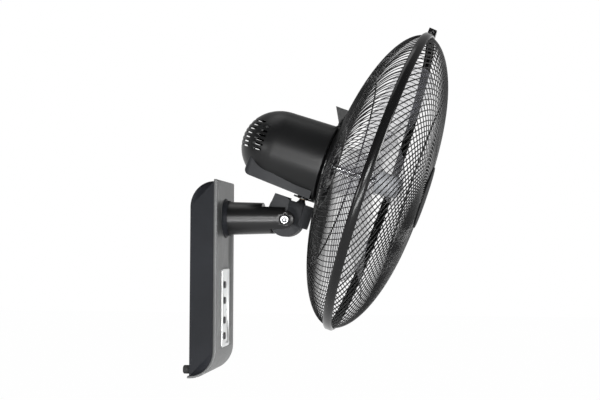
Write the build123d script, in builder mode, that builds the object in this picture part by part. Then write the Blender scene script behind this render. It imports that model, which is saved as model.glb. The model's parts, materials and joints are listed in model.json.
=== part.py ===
from build123d import *
import os
from math import acos, asin, cos, hypot, pi, radians, sin

# Wall mounted oscillating fan, about 43 cm across its guard.
# Millimetres. The wall is the plane X = 0, +X points out of the wall, +Z is up.
# The origin is the middle of the wall bracket's back face.

# ---------------------------------------------------------------- base on the wall
base_width = 116.0
base_height = 277.0
base_depth = 38.2           # back of the housing to the front face
wall_gap = 9.5              # wall to the back of the housing
skin = 2.4                  # wall of the mouldings
cover_plate = 4.6           # front cover, outer face to seam
cover_lip = 3.0             # the cover stands this far above the housing
cover_toe = 2.7             # the cover's lower end reaches this far behind the housing
cover_band = 3.0            # thickness of the cover where it wraps under the housing
side_step = 0.8             # the housing's sides stand in from the cover's
shoulder_drop = 39.0        # where the housing's rounded top starts, below the top
edge_round = 1.4
top_round = 2.4             # the cover's upper front edge
fit_gap = 0.3               # clearance between pieces that are put together

# wall bracket
bracket_width = 38.0
bracket_height = 150.0
bracket_sheet = 2.0
bracket_hole_r = 2.6
bracket_hole_pitch_y = 18.0
bracket_hole_pitch_z = 120.0
hook_inset = 96.5           # hooks in from the base's upper and lower edges
hook_height = 12.0
hook_lift = 5.0             # how far the hook's tongue stands above its neck
hook_reach = 3.4            # the tongue's depth behind the housing's back wall

# stand-off feet and cord grommet
foot_r = 6.0
foot_plug_r = 3.0
foot_spread = 100.0
foot_rise = 11.7            # foot axis above the base's lower edge
grommet_r = 7.0
grommet_bore_r = 3.6
grommet_rise = 24.0

# housing posts and screws
post_r = 4.5
post_y = 44.0
post_drop = 60.5            # upper posts below the top
post_rise = 50.5            # lower posts above the lower edge
post_joint = 9.0            # post top to seam
screw_r = 1.8
screw_head_r = 3.4
screw_head = 2.2

# ---------------------------------------------------------------- arm
arm_z = 85.0                # arm axis above the origin
arm_drop = 53.5             # and below the base's top
arm_root_r = 24.0
arm_tip_r = 21.4
arm_bore_r = 17.0
arm_flange_r = 34.0
arm_flange = 4.0
flange_bolt_ring_r = 29.0
flange_bolt_r = 2.5
arm_plate = 3.0             # steel plate that the flange is bolted to
arm_plate_y = 70.0
arm_plate_z = 62.0
plate_screw_edge = 5.0      # screw to the plate's edge
arm_plate_off = 10.4        # plate's rear face from the back of the housing
collar_r = 28.5
collar_sleeve_r = 25.6
collar_height = 6.8
collar_rim = 1.2

# ---------------------------------------------------------------- tilt joint
pivot_x = 137.0
pivot_drop = 2.4            # pivot axis below the arm axis
ear_r = 12.0
slot_half = 15.0            # half the width of the arm's slot
slot_top_x = 103.0          # rear end of the slot above
slot_floor = 2.5            # its floor there, above the arm axis
disc_room = 2.0             # clearance round the knuckle's disc inside the slot
bore_end_x = 108.0
bolt_r = 4.0
bolt_head_r = 5.75
bolt_head = 4.5
bolt_socket_flats = 4.6
ear_face_y = 19.4           # spot face of the bolt head and the nut
nut_flats = 13.0
nut_height = 6.5
friction_washer = 0.6
friction_washer_r = 11.0
running_gap = 0.1

# ---------------------------------------------------------------- head, along its own axis
head_tilt = 19.0            # degrees below level, as photographed
rim_x = 270.5
rim_z = 135.3
rim_r = 215.0               # guard wires meet the rim here
shell_r = 56.0
shell_rear_r = 54.6
shell_front_a = -83.6
shell_round_a = -150.0      # the shell's dome starts here
shell_end_a = -208.0
shell_skin = 2.2

plate_thick = 4.0           # front plate behind the rear guard
plate_over_shell = 1.6
fin_top = 83.0
fin_rear_a = -95.0
fin_front_a = -75.4
swivel_a = -97.6            # oscillation axis, from the rim plane
boss_r = 20.5
boss_top = -64.5
boss_low = -97.0
neck_foot = 2.0             # low cone on top of the boss
disc_r = 24.0
tongue_half = 14.2
recess_r = 19.8
block_top = -62.0
neck_shaft_r = 3.6
neck_shaft_top = -37.7
neck_cone_low_r = 5.6
neck_cone_top_r = 4.1
neck_cone_top = -58.1
sleeve_r = 8.5
sleeve_flange_r = 13.6
sleeve_low = -57.5
sleeve_flange = 2.4
sleeve_top = -44.3
bush_r = 5.6
thrust_washer_r = 7.0
cover_half = 41.0           # half the lower cover's width, behind
cover_waist = 36.4          # and in front, under the motor
cover_low_front = -54.7
cover_low_rear = -50.0
cover_rear_a = -184.5

# oscillation drive
anchor_r = 14.0             # swivel axis to the link's anchor pin
crank_r = 9.0
crank_a = -161.0
link_pin_r = 2.0
link_thick = 2.0
link_top = -41.6
link_half = 3.0
link_eye_r = 4.0
crank_disc_r = 12.5
crank_disc = 2.6
drive_slack = 0.35
swing_motor_r = 19.0
swing_motor = 15.0

# main motor
stator_r = 36.0
stator_bore_r = 20.9
stator_rear_a = -127.0
stator_front_a = -97.0
rotor_r = 20.4
motor_shaft_r = 4.0
bearing_r = 8.0
bell_rear_a = -141.0
shaft_front_a = 16.0

# ---------------------------------------------------------------- guards
front_depth = 64.0
front_power_r = 2.5
front_power_a = 1.85
rear_depth = 77.0
rear_power_r = 1.9
rear_power_a = 2.0
wire = 1.7
wire_count = 28
wire_steps = 8
wire_twist = 105.0          # degrees that a wire turns about the axis from rim to hub, more and more
ring_wire = 2.6
ring_over_rim = 0.2         # the rim rings' middles lie this far outside the wire ends
middle_ring_r = 140.0
rear_hub_r = 62.0
rear_hub_bore_r = 22.6
guard_nut_r = 33.0
badge_r = 46.0
badge_rim = 1.2
badge_crown = 1.8
band_width = 12.5
band_wall = 2.6             # thickness of the band over the rim rings
band_bevel = 2.2            # its sloped edges drop this far
band_flange = 1.4
band_lip_gap = 0.4          # from the wire ends to the band's flanges
lug_height = 10.0
lug_thick = 5.5
lug_split = 1.6

# ---------------------------------------------------------------- blades
blade_count = 5
blade_tip_r = 174.0
blade_thick = 2.2
hub_r = 34.0
hub_rear_a = -58.0
hub_front_a = -5.0
spinner_r = 17.0
spinner_end_a = 31.0

# ---------------------------------------------------------------- control panel
panel_width = 46.0
panel_height = 111.0
panel_rise = 40.0           # panel's lower end above the base's
panel_thick = 2.0
panel_proud = 1.0
button_y = -8.5
button_r = 5.0
button_proud = 1.4
button_travel = 0.8
button_flange_r = 6.6
button_flange = 1.2
button_stem_r = 2.0
button_pitch = 22.3
button_middle = 14.0        # half the wider gap in the middle of the column
column_rise = 52.0          # middle of the button column above the panel's lower end
low_lens_drop = 8.0         # the lower lens lies this far below the last button
lens_r = 2.2
lens_y = 6.0

os.makedirs("parts", exist_ok=True)


def keep(piece, label):
    piece.part.label = label
    export_step(piece.part, f"parts/{label}.step")


# ---------------------------------------------------------------- planes and shared places
tilt = radians(head_tilt)
forward = Vector(cos(tilt), 0, -sin(tilt))
upward = Vector(sin(tilt), 0, cos(tilt))
rim_centre = Vector(rim_x, 0, rim_z)
fan_axis = Axis(rim_centre, forward)
side = Plane(rim_centre, x_dir=forward, z_dir=(0, -1, 0))     # local x along the fan, y up
face = Plane(rim_centre, x_dir=upward, z_dir=forward)         # local x up, z along the fan


def across(a):
    """Plane square to the fan axis, at a along it."""
    return Plane(rim_centre + forward * a, x_dir=upward, z_dir=forward)


def level(height, a=swivel_a):
    """Plane square to the swivel axis: local x along the fan, y away from the near side."""
    return Plane(rim_centre + forward * a + upward * height, x_dir=forward, z_dir=upward)


top_z = arm_z + arm_drop
bottom_z = top_z - base_height
panel_bottom = bottom_z + panel_rise
panel_middle = panel_bottom + column_rise
back_x = wall_gap
front_x = wall_gap + base_depth
seam_x = front_x - cover_plate
bend_z = bottom_z + base_depth
housing_half = base_width / 2 - side_step
pivot_z = arm_z - pivot_drop
pivot_in_side = side.to_local_coords(Vector(pivot_x, 0, pivot_z))
arm_axis = Axis((0, 0, arm_z), (1, 0, 0))
plate_x = back_x + arm_plate_off
flange_x = plate_x + arm_plate


def housing_outline(inset, front):
    """Side outline of the housing: rounded shoulder above, the bend of the cover below."""
    x0 = back_x + inset
    crown = top_z - cover_lip - inset
    shoulder = top_z - shoulder_drop
    low = bottom_z + cover_band + inset
    with BuildSketch(Plane.XZ) as outline:
        with BuildLine():
            Line((x0, low), (x0, shoulder))
            EllipticalCenterArc(
                (seam_x, shoulder), seam_x - x0, crown - shoulder, start_angle=90, arc_size=90
            )
            Line((seam_x, crown), (front, crown))
            Line((front, crown), (front, bend_z))
            Line((front, bend_z), (seam_x - inset, bend_z))
            EllipticalCenterArc(
                (x0, bend_z), seam_x - inset - x0, bend_z - low, start_angle=-90, arc_size=90
            )
        make_face()
    return outline.sketch


# ---------------------------------------------------------------- rear housing
post_places = [(y, z) for y in (-post_y, post_y) for z in (top_z - post_drop, bottom_z + post_rise)]
plate_y = arm_plate_y / 2 - plate_screw_edge
plate_z = arm_plate_z / 2 - plate_screw_edge
plate_screws = [(y, arm_z + z) for y in (-plate_y, plate_y) for z in (-plate_z, plate_z)]
foot_places = [(y, bottom_z + foot_rise) for y in (-foot_spread / 2, foot_spread / 2)]
hook_places = [(y, z) for y in (-1, 1) for z in (bottom_z + hook_inset, top_z - hook_inset)]
hook_y = bracket_width / 2 - bracket_sheet / 2
post_top_x = seam_x - post_joint

with BuildPart() as outer_form:
    extrude(housing_outline(0, seam_x + 1), amount=housing_half, both=True)
    split(bisect_by=Plane.YZ.offset(seam_x), keep=Keep.BOTTOM)

with BuildPart() as rear_housing:
    add(outer_form.part)
    extrude(housing_outline(skin, seam_x + 5), amount=housing_half - skin, both=True, mode=Mode.SUBTRACT)
    with BuildSketch(Plane.YZ.offset(back_x)):
        with Locations(*post_places):
            Circle(post_r)
    extrude(amount=post_top_x - back_x)
    with BuildSketch(Plane.YZ.offset(back_x)):
        with Locations(*plate_screws):
            Circle(post_r)
    extrude(amount=plate_x - back_x)
    add(outer_form.part, mode=Mode.INTERSECT)
    with BuildSketch(Plane.YZ.offset(back_x - 1)):
        with Locations(*post_places):
            Circle(screw_r + fit_gap)
    extrude(amount=base_depth, mode=Mode.SUBTRACT)
    with BuildSketch(Plane.YZ.offset(back_x - 1)):
        with Locations(*post_places):
            Circle(screw_head_r + fit_gap)
    extrude(amount=1 + screw_head + 1.2, mode=Mode.SUBTRACT)
    with BuildSketch(Plane.YZ.offset(plate_x - 6)):
        with Locations(*plate_screws):
            Circle(screw_r)
    extrude(amount=6, mode=Mode.SUBTRACT)
    with BuildSketch(Plane.YZ.offset(back_x - 1)):
        with Locations(*foot_places):
            Circle(foot_plug_r + fit_gap)
        with Locations((0, bottom_z + grommet_rise)):
            Circle(grommet_r - 1.4)
        with Locations(*[(sign * hook_y, z + hook_lift) for sign, z in hook_places]):
            Rectangle(bracket_sheet + 2 * fit_gap, hook_height + 3 * hook_lift)
    extrude(amount=1 + skin, mode=Mode.SUBTRACT)
keep(rear_housing, "rear_housing")

# ---------------------------------------------------------------- front cover
button_heights = [panel_middle + s * (button_middle + n * button_pitch) for s in (1, -1) for n in (0, 1)]
button_heights.sort(reverse=True)
lens_heights = [panel_middle, button_heights[-1] - low_lens_drop]
panel_centre_z = panel_bottom + panel_height / 2
panel_back_x = front_x + panel_proud - panel_thick

with BuildPart() as front_cover:
    with BuildSketch(Plane.XZ):
        with BuildLine():
            Line((seam_x, top_z), (front_x - top_round, top_z))
            CenterArc((front_x - top_round, top_z - top_round), top_round, 90, -90)
            Line((front_x, top_z - top_round), (front_x, bend_z))
            CenterArc((back_x, bend_z), base_depth, -90, 90)
            Line((back_x, bottom_z), (back_x - cover_toe, bottom_z))
            Line((back_x - cover_toe, bottom_z), (back_x - cover_toe, bottom_z + cover_band))
            Line((back_x - cover_toe, bottom_z + cover_band), (back_x, bottom_z + cover_band))
            EllipticalCenterArc(
                (back_x, bend_z), seam_x - back_x, base_depth - cover_band, start_angle=-90, arc_size=90
            )
            Line((seam_x, bend_z), (seam_x, top_z))
        make_face()
    extrude(amount=base_width / 2, both=True)
    front_edges = edges().filter_by(Axis.Z).group_by(Axis.X)[-1]
    fillet(front_edges, edge_round)
    # hollow behind the front plate
    with BuildSketch(Plane.YZ.offset(seam_x)):
        with Locations((0, (top_z + bend_z) / 2 - cover_lip / 2)):
            Rectangle(2 * (housing_half - skin - fit_gap), top_z - cover_lip - skin - fit_gap - bend_z)
    extrude(amount=cover_plate - skin, mode=Mode.SUBTRACT)
    # screw posts that meet the housing's
    with BuildSketch(Plane.YZ.offset(post_top_x)):
        with Locations(*post_places):
            Circle(post_r)
    extrude(amount=front_x - skin - post_top_x)
    with BuildSketch(Plane.YZ.offset(post_top_x)):
        with Locations(*post_places):
            Circle(screw_r)
    extrude(amount=post_joint, mode=Mode.SUBTRACT)
    # arm opening, panel bed, button holes
    with BuildSketch(Plane.YZ.offset(seam_x)):
        with Locations((0, arm_z)):
            Circle(arm_root_r + 2 * fit_gap)
        with Locations(*[(button_y, z) for z in button_heights]):
            Circle(button_flange_r + fit_gap)
        with Locations(*[(lens_y, z) for z in lens_heights]):
            Circle(lens_r + fit_gap)
    extrude(amount=cover_plate, mode=Mode.SUBTRACT)
    with BuildSketch(Plane.YZ.offset(panel_back_x)):
        with Locations((0, panel_centre_z)):
            RectangleRounded(panel_width + 2 * fit_gap, panel_height + 2 * fit_gap, 3 + fit_gap)
    extrude(amount=panel_thick, mode=Mode.SUBTRACT)
keep(front_cover, "front_cover")

# ---------------------------------------------------------------- control panel and buttons
with BuildPart() as control_panel:
    with BuildSketch(Plane.YZ.offset(panel_back_x)):
        with Locations((0, panel_centre_z)):
            RectangleRounded(panel_width, panel_height, 3)
        with Locations(*[(button_y, z) for z in button_heights]):
            Circle(button_r + fit_gap, mode=Mode.SUBTRACT)
        with Locations(*[(lens_y, z) for z in lens_heights]):
            Circle(lens_r - 0.6, mode=Mode.SUBTRACT)
    extrude(amount=panel_thick)
    chamfer(edges().group_by(Axis.X)[-1].filter_by(GeomType.LINE), 0.6)
    with BuildSketch(Plane.YZ.offset(panel_back_x + panel_thick - 0.5)):
        with Locations((0, panel_centre_z)):
            Rectangle(panel_width - 6, panel_height - 8)
    extrude(amount=1, mode=Mode.SUBTRACT)
keep(control_panel, "control_panel")

board_x = front_x - skin - 15.0
board_thick = 1.6
switch_height = 3.5
switch_front_x = board_x + board_thick + switch_height
flange_front_x = panel_back_x - fit_gap / 2
stem_end_x = switch_front_x + button_travel + fit_gap

for number, z in enumerate(button_heights, 1):
    with BuildPart() as button:
        with BuildSketch(Plane.YZ.offset(flange_front_x)):
            with Locations((button_y, z)):
                Circle(button_r)
        extrude(amount=front_x + panel_proud + button_proud - flange_front_x)
        fillet(edges().group_by(Axis.X)[-1], 0.8)
        with BuildSketch(Plane.YZ.offset(flange_front_x - button_flange)):
            with Locations((button_y, z)):
                Circle(button_flange_r)
        extrude(amount=button_flange)
        with BuildSketch(Plane.YZ.offset(stem_end_x)):
            with Locations((button_y, z)):
                Circle(button_stem_r)
        extrude(amount=flange_front_x - stem_end_x)
    keep(button, f"button_{number}")

with BuildPart() as indicator_lenses:
    with BuildSketch(Plane.YZ.offset(panel_back_x - 3)):
        with Locations(*[(lens_y, z) for z in lens_heights]):
            Circle(lens_r)
    extrude(amount=3)
    with BuildSketch(Plane.YZ.offset(panel_back_x)):
        with Locations(*[(lens_y, z) for z in lens_heights]):
            Circle(lens_r - 0.7)
    extrude(amount=panel_thick - 0.4)
keep(indicator_lenses, "indicator_lenses")

# board on four pillars of the front plate
board_width = 40.0
board_height = 100.0
pillar_edge = 4.0           # pillar to the board's side edge
pillar_end = 3.2            # and to its upper and lower edge
pillar_r = 3.0
pillar_y = board_width / 2 - pillar_edge
pillar_z = board_height / 2 - pillar_end
pillar_places = [(y, panel_centre_z + z) for y in (-pillar_y, pillar_y) for z in (-pillar_z, pillar_z)]
with BuildPart() as control_board:
    with BuildSketch(Plane.YZ.offset(board_x)):
        with Locations((0, panel_centre_z)):
            Rectangle(board_width, board_height)
        with Locations(*pillar_places):
            Circle(screw_r, mode=Mode.SUBTRACT)
    extrude(amount=board_thick)
keep(control_board, "control_board")

with BuildPart() as board_pillars:
    with BuildSketch(Plane.YZ.offset(board_x + board_thick)):
        with Locations(*pillar_places):
            Circle(pillar_r)
    extrude(amount=front_x - skin - board_x - board_thick)
    with BuildSketch(Plane.YZ.offset(board_x)):
        with Locations(*pillar_places):
            Circle(screw_r - 0.1)
    extrude(amount=board_thick)
keep(board_pillars, "board_pillars")

with BuildPart() as key_switches:
    with BuildSketch(Plane.YZ.offset(board_x + board_thick)):
        with Locations(*[(button_y, z) for z in button_heights]):
            Rectangle(6, 6)
    extrude(amount=switch_height)
keep(key_switches, "key_switches")

# ---------------------------------------------------------------- wall bracket
tongue_x = back_x + skin + fit_gap
with BuildPart() as wall_bracket:
    with BuildSketch(Plane.YZ):
        RectangleRounded(bracket_width, bracket_height, 3)
        with GridLocations(bracket_hole_pitch_y, bracket_hole_pitch_z, 2, 2):
            Circle(bracket_hole_r, mode=Mode.SUBTRACT)
    extrude(amount=bracket_sheet)
    with BuildSketch(Plane.YZ.offset(bracket_sheet)):
        with Locations((-hook_y, 0), (hook_y, 0)):
            Rectangle(bracket_sheet, bracket_height - 8)
    extrude(amount=wall_gap - bracket_sheet)
    with BuildSketch(Plane.YZ.offset(wall_gap)):
        with Locations(*[(sign * hook_y, z) for sign, z in hook_places]):
            Rectangle(bracket_sheet, hook_height)
    extrude(amount=skin + fit_gap)
    with BuildSketch(Plane.YZ.offset(tongue_x)):
        with Locations(*[(sign * hook_y, z - hook_lift / 2) for sign, z in hook_places]):
            Rectangle(bracket_sheet, hook_height + hook_lift)
    extrude(amount=hook_reach - fit_gap)
keep(wall_bracket, "wall_bracket")

with BuildPart() as housing_screws:
    with BuildSketch(Plane.YZ.offset(back_x + 1.2)):
        with Locations(*post_places):
            Circle(screw_head_r)
    extrude(amount=screw_head)
    with BuildSketch(Plane.YZ.offset(back_x + 1.2 + screw_head)):
        with Locations(*post_places):
            Circle(screw_r)
    extrude(amount=post_top_x + 6 - back_x - 1.2 - screw_head)
    with BuildSketch(Plane.YZ.offset(back_x + 1.2)):
        with Locations(*post_places):
            Rectangle(3.6, 0.8)
            Rectangle(0.8, 3.6)
    extrude(amount=1, mode=Mode.SUBTRACT)
keep(housing_screws, "housing_screws")

with BuildPart() as stand_off_feet:
    with BuildSketch(Plane.YZ):
        with Locations(*foot_places):
            Circle(foot_r)
    extrude(amount=wall_gap)
    chamfer(edges().group_by(Axis.X)[0], 1.0)
    with BuildSketch(Plane.YZ.offset(wall_gap)):
        with Locations(*foot_places):
            Circle(foot_plug_r)
    extrude(amount=skin)
    with BuildSketch(Plane.YZ.offset(wall_gap + skin)):
        with Locations(*foot_places):
            Circle(foot_plug_r + 0.9)
    extrude(amount=2.5)
keep(stand_off_feet, "stand_off_feet")

with BuildPart() as cord_grommet:
    with BuildSketch(Plane.XZ):
        with BuildLine():
            Polyline(
                (back_x - 3, grommet_bore_r), (back_x - 3, grommet_r - 0.8), (back_x, grommet_r),
                (back_x, grommet_r - 1.4), (back_x + skin, grommet_r - 1.4), (back_x + skin, grommet_r),
                (back_x + skin + 2.5, grommet_r - 0.8), (back_x + skin + 2.5, grommet_bore_r), close=True,
            )
        make_face()
    revolve(axis=Axis.X)
    grommet_lift = Location((0, 0, bottom_z + grommet_rise))
cord_grommet.part = cord_grommet.part.moved(grommet_lift)
keep(cord_grommet, "cord_grommet")

# ---------------------------------------------------------------- inside the base
capacitor_size = (20.0, 38.0, 27.0)
capacitor_drop = 54.0       # capacitor's middle below the arm axis
terminal_rise = 52.0
capacitor_place = (36.5, arm_z - capacitor_drop)
terminal_place = (-20, bottom_z + terminal_rise)
terminal_depth = 10.0
with BuildPart() as run_capacitor:
    with BuildSketch(Plane.YZ.offset(back_x + skin)):
        with Locations(capacitor_place):
            RectangleRounded(capacitor_size[2], capacitor_size[1], 3)
    extrude(amount=capacitor_size[0])
keep(run_capacitor, "run_capacitor")

with BuildPart() as terminal_block:
    with BuildSketch(Plane.YZ.offset(back_x + skin)):
        with Locations(terminal_place):
            Rectangle(30, 12)
    extrude(amount=terminal_depth)
    with BuildSketch(Plane.YZ.offset(back_x + skin + terminal_depth)):
        with Locations(terminal_place):
            with GridLocations(10, 1, 3, 1):
                Circle(2.4)
    extrude(amount=-5, mode=Mode.SUBTRACT)
keep(terminal_block, "terminal_block")

bolt_ring = [(flange_bolt_ring_r * cos(radians(t)), arm_z + flange_bolt_ring_r * sin(radians(t)))
             for t in (45, 135, 225, 315)]
with BuildPart() as arm_plate_steel:
    with BuildSketch(Plane.YZ.offset(plate_x)):
        with Locations((0, arm_z)):
            RectangleRounded(arm_plate_y, arm_plate_z, 4)
            Circle(arm_bore_r, mode=Mode.SUBTRACT)
        with Locations(*bolt_ring):
            Circle(flange_bolt_r, mode=Mode.SUBTRACT)
        with Locations(*plate_screws):
            Circle(screw_r + 0.2, mode=Mode.SUBTRACT)
    extrude(amount=arm_plate)
keep(arm_plate_steel, "arm_plate")

with BuildPart() as arm_plate_screws:
    with BuildSketch(Plane.YZ.offset(plate_x - 6)):
        with Locations(*plate_screws):
            Circle(screw_r)
    extrude(amount=6 + arm_plate)
    with BuildSketch(Plane.YZ.offset(plate_x + arm_plate)):
        with Locations(*plate_screws):
            Circle(screw_head_r)
    extrude(amount=screw_head)
keep(arm_plate_screws, "arm_plate_screws")

with BuildPart() as flange_bolts:
    with BuildSketch(Plane.YZ.offset(plate_x - 2)):
        with Locations(*bolt_ring):
            Circle(flange_bolt_r)
    extrude(amount=2 + arm_plate + arm_flange)
    with BuildSketch(Plane.YZ.offset(flange_x + arm_flange)):
        with Locations(*bolt_ring):
            RegularPolygon(4.2, 6)
    extrude(amount=3)
keep(flange_bolts, "flange_bolts")

# ---------------------------------------------------------------- arm
ear_end_x = pivot_x + ear_r
taper = (arm_root_r - arm_tip_r) / (pivot_x - front_x)
with BuildPart() as arm_tube:
    with BuildSketch(Plane.XZ):
        with BuildLine():
            Polyline(
                (flange_x, arm_z + arm_bore_r), (flange_x, arm_z + arm_flange_r),
                (flange_x + arm_flange, arm_z + arm_flange_r), (flange_x + arm_flange, arm_z + arm_root_r),
                (front_x, arm_z + arm_root_r),
                (ear_end_x, arm_z + arm_root_r - taper * (ear_end_x - front_x)),
                (ear_end_x, arm_z), (bore_end_x, arm_z), (bore_end_x, arm_z + arm_bore_r), close=True,
            )
        make_face()
    revolve(axis=arm_axis)
    # slot for the knuckle: flat floored behind, round about the pivot, open in front
    with BuildSketch(Plane.XZ):
        with Locations((slot_top_x, arm_z + slot_floor)):
            Rectangle(ear_end_x - slot_top_x + 2, 2 * arm_root_r, align=(Align.MIN, Align.MIN))
        with Locations((pivot_x, pivot_z)):
            Circle(disc_r + disc_room)
        with Locations((pivot_x, arm_z)):
            Rectangle(ear_r + 2, 3 * arm_root_r, align=(Align.MIN, Align.CENTER))
    extrude(amount=slot_half, both=True, mode=Mode.SUBTRACT)
    # only the ears reach past the pivot
    with BuildSketch(Plane.XZ):
        with Locations((pivot_x + 20, arm_z)):
            Rectangle(40, 3 * arm_root_r)
        with Locations((pivot_x, pivot_z)):
            Circle(ear_r, mode=Mode.SUBTRACT)
    extrude(amount=2 * arm_root_r, both=True, mode=Mode.SUBTRACT)
    with BuildSketch(Plane.XZ):
        with Locations((pivot_x, pivot_z)):
            Circle(bolt_r)
    extrude(amount=2 * arm_root_r, both=True, mode=Mode.SUBTRACT)
    for face_y in (-1, 1):
        with BuildSketch(Plane.XZ.offset(-face_y * ear_face_y)):
            with Locations((pivot_x, pivot_z)):
                Circle(nut_flats / 2 / cos(pi / 6) + 0.4 if face_y > 0 else bolt_head_r + 0.3)
        extrude(amount=-face_y * 10, mode=Mode.SUBTRACT)
    with BuildSketch(Plane.YZ.offset(flange_x)):
        with Locations(*bolt_ring):
            Circle(flange_bolt_r)
    extrude(amount=arm_flange, mode=Mode.SUBTRACT)
keep(arm_tube, "arm_tube")

with BuildPart() as arm_collar:
    with BuildSketch(Plane.XZ):
        with BuildLine():
            inner = arm_z + arm_root_r + fit_gap
            Polyline(
                (front_x, inner), (front_x, arm_z + collar_r), (front_x + collar_rim, arm_z + collar_r - 0.5),
                (front_x + collar_rim, arm_z + collar_sleeve_r),
                (front_x + collar_height, arm_z + collar_sleeve_r - 0.5), (front_x + collar_height, inner),
                close=True,
            )
        make_face()
    revolve(axis=arm_axis)
keep(arm_collar, "arm_collar")

# ---------------------------------------------------------------- tilt knuckle
pivot_a = pivot_in_side.X
pivot_h = pivot_in_side.Y
block_points = [(122.0, 120.3), (118.3, 112.3), (112.2, 100.0)]   # rear edge of the block, world X and Z
rear_edge = [side.to_local_coords(Vector(x, 0, z)) for x, z in block_points]
stop_x, stop_z = block_points[1]

with BuildPart() as tilt_knuckle:
    with BuildSketch(side):
        with Locations((pivot_a, pivot_h)):
            Circle(disc_r)
        with BuildLine():
            Polyline(
                (rear_edge[0].X, block_top), (rear_edge[1].X, rear_edge[1].Y),
                (rear_edge[2].X, rear_edge[2].Y),
                (pivot_a - 12, pivot_h), (swivel_a, boss_low), (swivel_a, block_top), close=True,
            )
        make_face()
    extrude(amount=tongue_half, both=True)
    with BuildSketch(level(boss_low)):
        Circle(boss_r)
    extrude(amount=boss_top - boss_low)
    # round recess for the arm's ears on both sides
    for hand in (-1, 1):
        with BuildSketch(side.offset(-hand * tongue_half)):
            with Locations((pivot_a, pivot_h)):
                Circle(recess_r)
        extrude(amount=-hand * 2 * boss_r, mode=Mode.SUBTRACT)
    # the block above the boss stays clear of the head
    with BuildSketch(level(boss_top)):
        Circle(boss_r + 2)
    extrude(amount=boss_r, mode=Mode.SUBTRACT)
    with BuildSketch(level(boss_top)):
        Circle(neck_cone_low_r + 1.4)
    extrude(amount=neck_foot, taper=20)
    with BuildSketch(Plane.XZ):
        with Locations((pivot_x, pivot_z)):
            Circle(bolt_r + running_gap)
    extrude(amount=2 * boss_r, both=True, mode=Mode.SUBTRACT)
    with BuildSketch(level(boss_low + 4)):
        Circle(neck_shaft_r)
    extrude(amount=2 * boss_r, mode=Mode.SUBTRACT)
keep(tilt_knuckle, "tilt_knuckle")

# ---------------------------------------------------------------- tilt bolt, nut, washers, stop
with BuildPart() as tilt_bolt:
    with BuildSketch(Plane.XZ.offset(ear_face_y)):
        with Locations((pivot_x, pivot_z)):
            Circle(bolt_head_r)
    extrude(amount=bolt_head)
    fillet(edges().group_by(Axis.Y)[0], 0.8)
    with BuildSketch(Plane.XZ.offset(ear_face_y + bolt_head)):
        with Locations((pivot_x, pivot_z)):
            RegularPolygon(bolt_socket_flats / 2, 6, major_radius=False)
    extrude(amount=-3, mode=Mode.SUBTRACT)
    with BuildSketch(Plane.XZ.offset(ear_face_y)):
        with Locations((pivot_x, pivot_z)):
            Circle(bolt_r)
    extrude(amount=-2 * ear_face_y - nut_height)
keep(tilt_bolt, "tilt_bolt")

with BuildPart() as tilt_nut:
    with BuildSketch(Plane.XZ.offset(-ear_face_y)):
        with Locations((pivot_x, pivot_z)):
            RegularPolygon(nut_flats / 2, 6, major_radius=False)
            Circle(bolt_r, mode=Mode.SUBTRACT)
    extrude(amount=-nut_height)
    chamfer(edges().group_by(Axis.Y)[-1].filter_by(GeomType.LINE), 0.6)
keep(tilt_nut, "tilt_nut")

with BuildPart() as friction_washers:
    for hand in (-1, 1):
        with BuildSketch(Plane.XZ.offset(hand * (slot_half - friction_washer) if hand > 0 else -slot_half)):
            with Locations((pivot_x, pivot_z)):
                Circle(friction_washer_r)
                Circle(bolt_r, mode=Mode.SUBTRACT)
        extrude(amount=friction_washer)
keep(friction_washers, "friction_washers")

# a thin stop plate on the block's rear slope, held by one small screw
slope_low = Vector(block_points[1][0], 0, block_points[1][1])
low_corner = Vector(block_points[2][0], 0, block_points[2][1])
slope_out = Vector(-(slope_low - low_corner).Z, 0, (slope_low - low_corner).X).normalized()
stop_plane = Plane(
    (slope_low + low_corner) * 0.5 + slope_out * 0.01,
    x_dir=(slope_low - low_corner).normalized(), z_dir=slope_out,
)
stop_length = (slope_low - low_corner).length
stop_sheet = 0.8
with BuildPart() as stop_plate:
    with BuildSketch(stop_plane):
        Rectangle(stop_length, 14)
        Circle(1.3, mode=Mode.SUBTRACT)
    extrude(amount=stop_sheet)
keep(stop_plate, "stop_plate")

with BuildPart() as stop_screw:
    with BuildSketch(stop_plane.offset(stop_sheet)):
        Circle(2.4)
    extrude(amount=1.6)
    with BuildSketch(stop_plane):
        Circle(1.2)
    extrude(amount=stop_sheet)
keep(stop_screw, "stop_screw")

# ---------------------------------------------------------------- oscillation shaft and its bearing
with BuildPart() as neck_shaft:
    with BuildSketch(level(boss_low + 4)):
        Circle(neck_shaft_r)
    extrude(amount=neck_shaft_top - boss_low - 4)
    chamfer(edges().group_by(Axis(rim_centre, upward))[-1], 0.6)
keep(neck_shaft, "neck_shaft")

with BuildPart() as neck_cone:
    with BuildSketch(level(boss_top + neck_foot)):
        Circle(neck_cone_low_r)
    with BuildSketch(level(neck_cone_top)):
        Circle(neck_cone_top_r)
    loft()
    with BuildSketch(level(boss_top)):
        Circle(neck_shaft_r)
    extrude(amount=10, mode=Mode.SUBTRACT)
keep(neck_cone, "neck_cone")

with BuildPart() as thrust_washer:
    with BuildSketch(level(neck_cone_top)):
        Circle(thrust_washer_r)
        Circle(neck_shaft_r + running_gap, mode=Mode.SUBTRACT)
    extrude(amount=sleeve_low - neck_cone_top)
keep(thrust_washer, "thrust_washer")

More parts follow.
